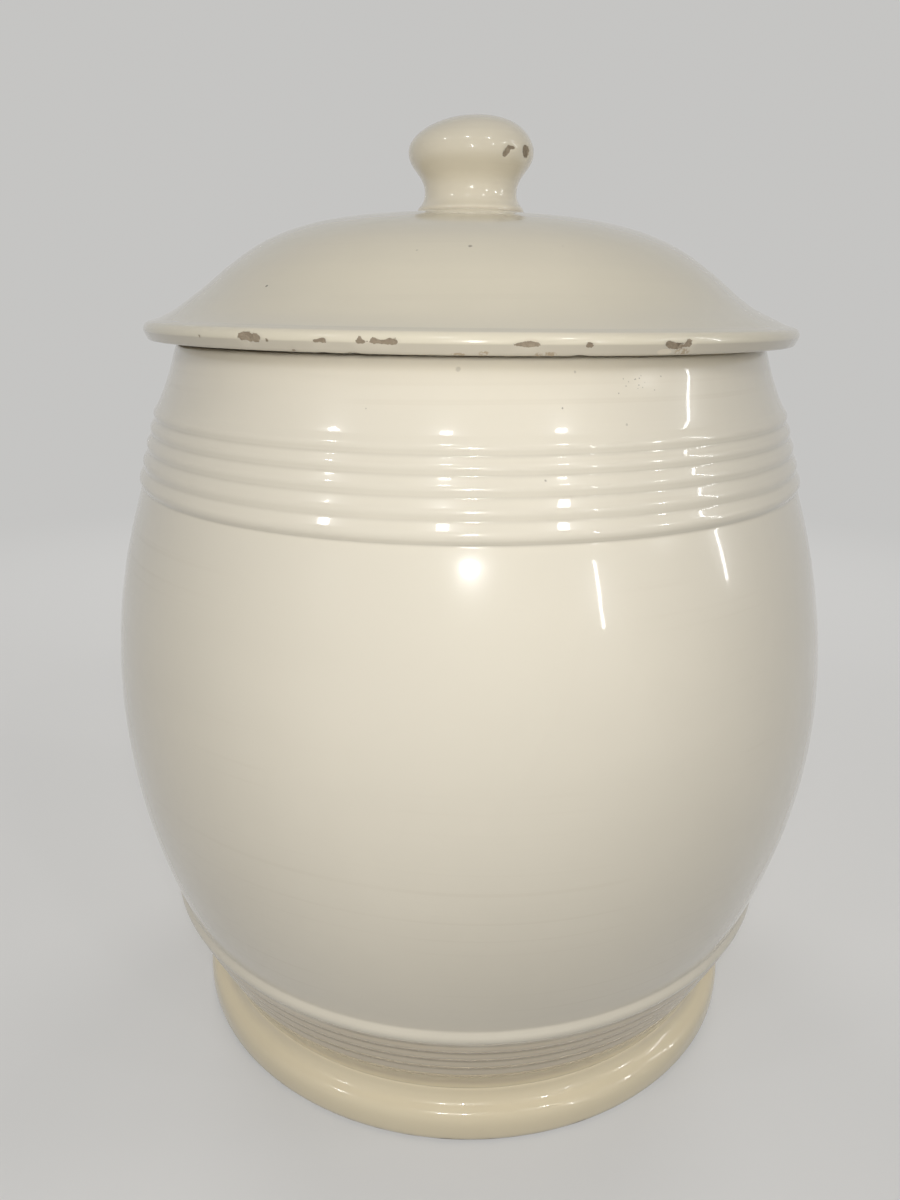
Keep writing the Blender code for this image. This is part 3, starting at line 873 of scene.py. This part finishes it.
def foot_outline():
    """Round the ring's section: over the slip on its top, down the flare, under the lip, up the bore."""
    bore = WAIST_RADIUS - FOOT_WALL
    high, low = [between(FOOT_TOP, LIP_HEIGHT, share) for share in FLARE_HANDLE_SHARES]
    lip = (FOOT_RADIUS, LIP_HEIGHT)
    seam = FOOT_HEIGHT + SEAM_BRIDGE
    brow = WAIST_RADIUS + cove(FOOT_HEIGHT)
    outline = [(bore, FOOT_TOP), (brow - 2 * SEAM_BRIDGE, FOOT_TOP), (brow - SEAM_BRIDGE, seam)]
    outline += bezier((brow, FOOT_TOP), (brow, high), (FOOT_RADIUS, low), lip)
    tucked = (FOOT_RADIUS - LIP_UNDERCUT, 0)
    outline += bezier(lip, (FOOT_RADIUS, LIP_HEIGHT / 2), (FOOT_RADIUS, 0), tucked)[1:]
    return outline + [(bore + FOOT_CHAMFER, 0), (bore, FOOT_CHAMFER)]


def still(radius, height, angle):
    """A piece that stays as it was turned."""
    return 0, 0, 0


def wiped_foot(tree, place):
    """The resting face, bare up to a wavering line just above it."""
    height = put(tree, "ShaderNodeSeparateXYZ", {0: place}).outputs["Z"]
    least = WIPED_HEIGHT * WIPED_LEAST_SHARE
    line = ramp(tree, grain(tree, place, *WIPED_NOISE), *WIPED_LIMITS, least, WIPED_HEIGHT)
    return ramp(tree, sum_up(tree, "SUBTRACT", line, height), *WIPED_BLUR)


foot_rings = under_glaze(foot_outline(), FOOT_SOFTNESS, closed=True)
foot = turned("glazed_foot_ring", foot_rings, FOOT_SEGMENTS, still, closed=True)
foot.data.materials.append(
    glazed(
        "foot_glaze",
        glaze=FOOT_CREAM,
        drift=(0.760, 0.660, 0.460, 1),
        thin=(0.620, 0.520, 0.370, 1),
        hollow_shade=(0.640, 0.550, 0.390, 1),
        specks=[],
        lines=500.0,
        speck_share=0.03,
        wiped=wiped_foot,
    )
)
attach(foot, "jar")
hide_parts("foot_ring")


# The lid
# A dome thrown upside down, with a thick turned edge that rests on the rim and a collar below that
# keeps it in the mouth. Its seat was wiped bare. Years of use have knocked flakes off its edge,
# and it has warped a little in the kiln, so that it stands higher at the left.
lid_low, lid_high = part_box("lid")
SEAT_GAP = 0.0003
SEAT_HEIGHT = JAR_HEIGHT + SEAT_GAP
LID_RADIUS = lid_high.x
LID_RISE = 0.0364
LID_WALL = 0.0060
EDGE_ROUND = 0.00265
EDGE_MEETS_DOME = 60
ARRIS_ANGLE = 12
EDGE_UNDERCUT = 0.0009
EDGE_UNDERSIDE_ROUND = 0.0007
COLLAR_CLEARANCE = 0.0015
COLLAR_WALL = 0.0045
COLLAR_ROUND = 0.0014
COLLAR_RADIUS = MOUTH_RADIUS - COLLAR_CLEARANCE
HOLLOW_RADIUS = COLLAR_RADIUS - COLLAR_WALL
COLLAR_TIP = lid_low.z
PAD_TOP = lid_high.z
PAD_RADIUS = 0.0168
PAD_PROUD = 0.0008
DOME_SHARES = (
    (0.00, 1.000),
    (0.22, 0.968),
    (0.40, 0.922),
    (0.53, 0.845),
    (0.64, 0.725),
    (0.736, 0.555),
    (0.825, 0.365),
    (0.893, 0.243),
    (0.958, 0.155),
)
DOME_POINTS = 120
HOLLOW_POINTS = 80
LID_SOFTNESS = 0.00028
LID_SEGMENTS = 720

# The warp: how steeply the dome and the edge lean, and the heights over the seat between which the
# dome's lean takes over
DOME_TILT = 0.0125
EDGE_TILT = 0.0055
DOME_TILT_LIMITS = (0.004, 0.012)

# Flakes off the lid's edge, each of one or more ovals: angle round from the front to the right in
# degrees, height over the arris, half length, half height and depth
CREST = SEAT_HEIGHT + EDGE_ROUND
LID_CHIPS = (
    (-30.9, 0.0003, 0.0018, 0.0011, 0.00050),
    (-32.3, 0.0005, 0.0010, 0.0007, 0.00030),
    (-29.5, 0.0001, 0.0009, 0.0008, 0.00030),
    (-27.8, -0.0002, 0.0004, 0.0004, 0.00025),
    (-41.3, 0.0000, 0.0004, 0.0004, 0.00025),
    (-19.2, 0.0001, 0.0010, 0.0006, 0.00035),
    (-20.2, -0.0001, 0.0006, 0.0003, 0.00025),
    (-13.9, 0.0000, 0.0012, 0.0004, 0.00030),
    (-14.0, 0.0006, 0.0005, 0.0006, 0.00030),
    (-12.1, 0.0003, 0.0008, 0.0007, 0.00045),
    (-10.9, 0.0000, 0.0012, 0.0004, 0.00040),
    (-9.8, 0.0002, 0.0013, 0.0007, 0.00050),
    (7.1, -0.0002, 0.0027, 0.0004, 0.00035),
    (7.7, 0.0000, 0.0014, 0.0005, 0.00040),
    (15.5, -0.0003, 0.0009, 0.0006, 0.00040),
    (27.2, 0.0000, 0.0009, 0.0006, 0.00040),
    (28.6, -0.0006, 0.0020, 0.0007, 0.00050),
    (30.6, 0.0000, 0.0010, 0.0009, 0.00045),
    (-23.9, -0.0023, 0.0006, 0.0003, 0.00025),
    (-19.7, -0.0027, 0.0014, 0.0003, 0.00030),
    (-15.2, -0.0026, 0.0016, 0.0003, 0.00030),
    (14.6, -0.0027, 0.0020, 0.0003, 0.00030),
    (74.0, 0.0000, 0.0017, 0.0008, 0.00045),
    (75.6, -0.0003, 0.0011, 0.0005, 0.00030),
    (118.0, 0.0002, 0.0012, 0.0007, 0.00040),
    (151.0, -0.0024, 0.0020, 0.0005, 0.00040),
    (196.0, -0.0001, 0.0016, 0.0009, 0.00050),
    (197.6, 0.0004, 0.0008, 0.0006, 0.00030),
    (231.0, 0.0001, 0.0009, 0.0006, 0.00035),
    (262.0, 0.0000, 0.0022, 0.0009, 0.00050),
    (264.4, -0.0002, 0.0012, 0.0006, 0.00040),
)
# Pale scars, where only the skin of the glaze has gone, and brown stains, with the same numbers
# without a depth
LID_SCARS = (
    (7.7, 0.0006, 0.0016, 0.0005),
    (26.8, -0.0019, 0.0021, 0.0007),
    (197.0, -0.0011, 0.0015, 0.0005),
)
LID_STAINS = (
    (-1.3, -0.0024, 0.0016, 0.0004),
    (1.9, -0.0022, 0.0011, 0.0006),
    (9.3, -0.0023, 0.0016, 0.0005),
    (10.6, -0.0022, 0.0010, 0.0004),
    (29.8, -0.0019, 0.0021, 0.0007),
)
SCAR_TONE = (0.700, 0.620, 0.480, 1)
SCAR_LIMITS = (0.40, 0.60)
SCAR_SHARE = 0.80
STAIN_TONE = (0.400, 0.305, 0.195, 1)
STAIN_LIMITS = (0.25, 0.70)
STAIN_SHARE = 0.90
STAIN_NOISE = (1500, 2.0)
STAIN_DOT_LIMITS = (0.36, 0.58)

# How marks lie: how far in from the edge they reach, what they come to at their outline, and where
# the flakes' hollows start and are whole
EDGE_REACH = 0.0030
AT_OUTLINE = 0.5
FLAKE_LIMITS = (0.35, 0.65)

# Painted shade on the edge's lower face: how much of its tone shows, the height over which it
# starts below the arris, and where it starts and is whole in from the edge, counted in undercuts
EDGE_SHADE_TONE = (0.560, 0.505, 0.400, 1)
EDGE_SHARE = 0.85
EDGE_FADE = 0.0004
EDGE_FACE_UNDERCUTS = (3, 2)

# The bare ring on the seat: how its outer line strays, how far above and below the seat it is
# found, and where beyond the rim it ends and is whole
SEAT_NOISE = (140, 3.0)
SEAT_STRAY = 0.0016
SEAT_BARE_ABOVE = 0.0002
SEAT_BARE_BELOW = 0.0006
SEAT_BARE_REACH = (0.0016, 0.0012)


def dome_height(radius):
    """Height of the lid's top above its seat at a radius, on a smooth curve through the dome's shares."""
    knots = [(share * LID_RADIUS, rise * LID_RISE) for share, rise in DOME_SHARES]
    mirrored = [(-knots[1][0], knots[1][1])] + knots
    span = max(i for i in range(1, len(mirrored) - 1) if mirrored[i][0] <= radius)
    before, low, high = mirrored[span - 1 : span + 2]
    after = mirrored[span + 2] if span + 2 < len(mirrored) else high
    width = high[0] - low[0]
    t = (radius - low[0]) / width
    low_slope = (high[1] - before[1]) / (high[0] - before[0]) * width
    high_slope = (after[1] - low[1]) / (after[0] - low[0]) * width
    return (
        (2 * t**3 - 3 * t**2 + 1) * low[1]
        + (t**3 - 2 * t**2 + t) * low_slope
        + (3 * t**2 - 2 * t**3) * high[1]
        + (t**3 - t**2) * high_slope
    )


def underside_height(radius):
    """Height of the lid's hollow at a radius, one wall thickness in from the dome."""
    near = max(0.0, radius - PAD_RADIUS)
    slope = (dome_height(radius + PAD_RADIUS) - dome_height(near)) / (radius + PAD_RADIUS - near)
    return dome_height(radius) - LID_WALL * math.hypot(1, slope)


def lid_outline():
    """From the middle of the pad over the dome, round the edge, round the collar and up the hollow."""
    outline = [(0, PAD_TOP), (PAD_RADIUS, PAD_TOP)]
    for radius in np.linspace(PAD_RADIUS + PAD_PROUD, DOME_SHARES[-1][0] * LID_RADIUS, DOME_POINTS):
        outline.append((radius, SEAT_HEIGHT + dome_height(radius)))
    edge = (LID_RADIUS - EDGE_ROUND, SEAT_HEIGHT + EDGE_ROUND)
    outline += arc(edge, EDGE_ROUND, EDGE_MEETS_DOME, ARRIS_ANGLE)
    under = LID_RADIUS - EDGE_UNDERCUT - EDGE_UNDERSIDE_ROUND
    outline.append((LID_RADIUS, SEAT_HEIGHT + EDGE_ROUND))
    outline += arc((under, SEAT_HEIGHT + EDGE_UNDERSIDE_ROUND), EDGE_UNDERSIDE_ROUND, 0, -90)
    outline.append((COLLAR_RADIUS, SEAT_HEIGHT))
    outline += arc((COLLAR_RADIUS - COLLAR_ROUND, COLLAR_TIP + COLLAR_ROUND), COLLAR_ROUND, 0, -90)
    outline += arc((HOLLOW_RADIUS + COLLAR_ROUND, COLLAR_TIP + COLLAR_ROUND), COLLAR_ROUND, -90, -180)
    for radius in np.linspace(HOLLOW_RADIUS, 0, HOLLOW_POINTS):
        outline.append((radius, SEAT_HEIGHT + underside_height(radius)))
    return outline


def flaked(radius, height, angle, base_height, base_radius, flakes):
    """How far flakes took each point inward, from the same ovals that the finish shows."""
    marks = 0
    inward = 0
    for turn, rise, half_length, half_height, depth in flakes:
        along = (np.mod(angle - math.radians(turn) + math.pi, math.tau) - math.pi) * base_radius
        across = height - base_height - rise
        inside = (base_radius - radius) / EDGE_REACH
        mark = AT_OUTLINE ** ((along / half_length) ** 2 + (across / half_height) ** 2 + inside**2)
        marks = marks + mark
        inward = np.maximum(inward, depth * mark)
    return inward * eased(marks, *FLAKE_LIMITS)


# One oval mark on an edge laid out flat, added to those before it, so that marks that meet run
# together: the sum is 1 in the middle of a mark and 0.5 at its outline
oval_mark, entry, leave = shader_group(
    "oval_mark",
    {"Flat Place": "Vector", "Centre": "Vector", "Half Size": "Vector", "Others": "Float"},
    {"Sum": "Float"},
)
inputs = {0: entry["Flat Place"], 1: entry["Centre"]}
away = put(oval_mark, "ShaderNodeVectorMath", inputs, operation="SUBTRACT").outputs[0]
inputs = {0: away, 1: entry["Half Size"]}
away = put(oval_mark, "ShaderNodeVectorMath", inputs, operation="DIVIDE").outputs[0]
away = put(oval_mark, "ShaderNodeVectorMath", {0: away, 1: away}, operation="DOT_PRODUCT")
fall = sum_up(oval_mark, "POWER", AT_OUTLINE, away.outputs["Value"])
oval_mark.links.new(sum_up(oval_mark, "ADD", fall, entry["Others"]), leave["Sum"])


def from_axis(tree, place):
    """How far a place is from the upright axis."""
    level = put(tree, "ShaderNodeVectorMath", {0: place, 1: (1, 1, 0)}, operation="MULTIPLY").outputs[0]
    return put(tree, "ShaderNodeVectorMath", {0: level}, operation="LENGTH").outputs["Value"]


def unwarped_height(tree, place, tilt):
    """The height of a place with its warp taken out again."""
    split = put(tree, "ShaderNodeSeparateXYZ", {0: place}).outputs
    return sum_up(tree, "ADD", split["Z"], times(tree, split["X"], tilt))


def marked(ovals, base_height, base_radius, tilt):
    """A function that adds up oval marks on an edge of a radius and warp."""

    def marks(tree, place):
        split = put(tree, "ShaderNodeSeparateXYZ", {0: place}).outputs
        turn = sum_up(tree, "ARCTAN2", split["X"], times(tree, split["Y"], -1.0))
        along = times(tree, turn, base_radius)
        flat = {0: along, 1: unwarped_height(tree, place, tilt), 2: from_axis(tree, place)}
        flat = put(tree, "ShaderNodeCombineXYZ", flat).outputs[0]
        total = 0.0
        for angle, rise, half_length, half_height in [oval[:4] for oval in ovals]:
            along = math.radians((angle + 180) % 360 - 180) * base_radius
            inputs = {
                "Flat Place": flat,
                "Centre": (along, base_height + rise, base_radius),
                "Half Size": (half_length, half_height, EDGE_REACH),
                "Others": total,
            }
            total = put(tree, "ShaderNodeGroup", inputs, node_tree=oval_mark).outputs["Sum"]
        return total

    return marks


def lid_hand(radius, height, angle):
    """The lid's warp, which spares its seat and collar, and the flakes off its edge."""
    top = eased(height - SEAT_HEIGHT, *DOME_TILT_LIMITS)
    edge = eased(radius, RIM_RADIUS, LID_RADIUS - EDGE_ROUND) * (1 - top)
    across = radius * np.sin(angle)
    inward = flaked(radius, height, angle, CREST, LID_RADIUS, LID_CHIPS)
    return inward, 0, -across * (DOME_TILT * top + EDGE_TILT * edge)


def scarred(tree, place):
    """The pale scars on the lid's edge."""
    marks = marked(LID_SCARS, CREST, LID_RADIUS, EDGE_TILT)(tree, place)
    return ramp(tree, marks, *SCAR_LIMITS, 0.0, SCAR_SHARE)


def stained(tree, place):
    """Brown stains on the lid's edge, broken up into specks."""
    marks = marked(LID_STAINS, CREST, LID_RADIUS, EDGE_TILT)(tree, place)
    dots = ramp(tree, grain(tree, place, *STAIN_NOISE), *STAIN_DOT_LIMITS)
    return times(tree, ramp(tree, marks, *STAIN_LIMITS, 0.0, STAIN_SHARE), dots)


def painted_shade_on_edge_face(tree, place):
    """Painted shade on the flat lower face of the lid's edge, greyer than the face above the arris."""
    starts, whole = [LID_RADIUS - count * EDGE_UNDERCUT for count in EDGE_FACE_UNDERCUTS]
    outer = ramp(tree, from_axis(tree, place), starts, whole)
    low = ramp(tree, unwarped_height(tree, place, EDGE_TILT), CREST, CREST - EDGE_FADE)
    return times(tree, times(tree, low, outer), EDGE_SHARE)


def wiped_seat(tree, place):
    """The ring under the lid that rests on the rim, bare between the collar and the edge."""
    height = put(tree, "ShaderNodeSeparateXYZ", {0: place}).outputs["Z"]
    low = sum_up(tree, "LESS_THAN", height, SEAT_HEIGHT + SEAT_BARE_ABOVE)
    high = sum_up(tree, "GREATER_THAN", height, SEAT_HEIGHT - SEAT_BARE_BELOW)
    stray = times(tree, grain(tree, place, *SEAT_NOISE), SEAT_STRAY)
    out = sum_up(tree, "ADD", from_axis(tree, place), stray)
    inside = ramp(tree, out, *[RIM_RADIUS + reach for reach in SEAT_BARE_REACH])
    return times(tree, times(tree, low, high), inside)


def on_lid(angle, out, radius, depth):
    """A speck on the lid's dome."""
    return round_at(angle, out, SEAT_HEIGHT + dome_height(out)), radius, depth


# Specks on the dome: angle as above, distance from the axis, radius, and how dark it burnt
LID_SPECKS = (
    (0.0, 0.0671, 0.00050, 0.70),
    (-10.5, 0.0686, 0.00030, 0.35),
    (19.7, 0.0663, 0.00028, 0.35),
)

lid = turned("glazed_lid", under_glaze(lid_outline(), LID_SOFTNESS), LID_SEGMENTS, lid_hand)
lid.data.materials.append(
    glazed(
        "lid_glaze",
        glaze=(0.720, 0.655, 0.510, 1),
        drift=(0.675, 0.618, 0.480, 1),
        thin=(0.620, 0.555, 0.435, 1),
        hollow_shade=(0.600, 0.555, 0.440, 1),
        specks=[on_lid(*speck) for speck in LID_SPECKS],
        lines=380.0,
        speck_share=0.03,
        # The first zone is painted shade on the lower face of the edge
        zones=((painted_shade_on_edge_face, EDGE_SHADE_TONE), (scarred, SCAR_TONE), (stained, STAIN_TONE)),
        wiped=wiped_seat,
        chipped=marked(LID_CHIPS, CREST, LID_RADIUS, EDGE_TILT),
    )
)
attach(lid, "lid")
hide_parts("lid")


# The knob
# Thrown as a small mushroom and luted on to the pad. The glaze is chipped at the right of its
# crown, where it has been knocked.
knob_low, knob_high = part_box("lid_knob")
KNOB_BASE = knob_low.z
KNOB_TOP = knob_high.z
KNOB_RADIUS = knob_high.x
KNOB_WIDEST = KNOB_BASE + 0.0161
KNOB_WAIST_RADIUS = 0.01375
KNOB_WAIST = KNOB_BASE + 0.0051
KNOB_BASE_RADIUS = 0.0159
KNOB_BASE_EDGE = KNOB_BASE + 0.0008
KNOB_SPREAD_HANDLE_SHARES = (0.26, 0.56, 0.40)
KNOB_STEM_HANDLE_SHARES = (0.47, 0.58)
KNOB_CROWN_HANDLE_SHARES = (0.45, 0.67)
KNOB_SOFTNESS = 0.00030
KNOB_SEGMENTS = 200
CROWN_TILT = 0.05

# Flakes off the crown, with the same numbers as the lid's, but their heights over the knob's base
KNOB_CHIPS = (
    (31.8, 0.0141, 0.0008, 0.0010, 0.00030),
    (34.6, 0.0151, 0.0006, 0.0009, 0.00035),
    (38.6, 0.0156, 0.0011, 0.0004, 0.00025),
    (56.8, 0.0157, 0.0013, 0.0012, 0.00040),
    (60.6, 0.0149, 0.0012, 0.0013, 0.00040),
    (215.0, 0.0150, 0.0015, 0.0010, 0.00040),
)


def knob_outline():
    """From the middle of the crown, in to the waist and out to the slip that holds it to the pad."""
    widest = (KNOB_RADIUS, KNOB_WIDEST)
    waist = (KNOB_WAIST_RADIUS, KNOB_WAIST)
    low, wide = KNOB_CROWN_HANDLE_SHARES
    side = (KNOB_RADIUS, between(KNOB_WIDEST, KNOB_TOP, low))
    outline = bezier((0, KNOB_TOP), (KNOB_RADIUS * wide, KNOB_TOP), side, widest)
    low, high = [between(KNOB_WAIST, KNOB_WIDEST, share) for share in KNOB_STEM_HANDLE_SHARES]
    outline += bezier(widest, (KNOB_RADIUS, high), (KNOB_WAIST_RADIUS, low), waist)[1:]
    low, high, wide = KNOB_SPREAD_HANDLE_SHARES
    under = (KNOB_WAIST_RADIUS, between(KNOB_BASE_EDGE, KNOB_WAIST, high))
    spread = (between(KNOB_WAIST_RADIUS, KNOB_BASE_RADIUS, wide), between(KNOB_BASE_EDGE, KNOB_WAIST, low))
    outline += bezier(waist, under, spread, (KNOB_BASE_RADIUS, KNOB_BASE_EDGE))[1:]
    out = KNOB_BASE_RADIUS + SEAM_BRIDGE / 2
    sunk = PAD_TOP - SEAM_BRIDGE / 2
    return outline + [(out, PAD_TOP), (out, sunk), (0, sunk)]


def knob_hand(radius, height, angle):
    """The crown's tilt up to the right, and the flakes off it."""
    crown = eased(height, KNOB_WIDEST, KNOB_TOP)
    inward = flaked(radius, height, angle, KNOB_BASE, KNOB_RADIUS, KNOB_CHIPS)
    return inward, 0, crown * CROWN_TILT * radius * np.sin(angle)


knob = turned("glazed_knob", under_glaze(knob_outline(), KNOB_SOFTNESS), KNOB_SEGMENTS, knob_hand)
knob.data.materials.append(
    glazed(
        "knob_glaze",
        glaze=(0.770, 0.700, 0.550, 1),
        drift=(0.720, 0.650, 0.505, 1),
        thin=(0.650, 0.570, 0.440, 1),
        hollow_shade=(0.640, 0.570, 0.440, 1),
        specks=[],
        lines=600.0,
        speck_share=0.02,
        chipped=marked(KNOB_CHIPS, KNOB_BASE, KNOB_RADIUS, 0.0),
    )
)
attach(knob, "lid")
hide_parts("lid_knob")
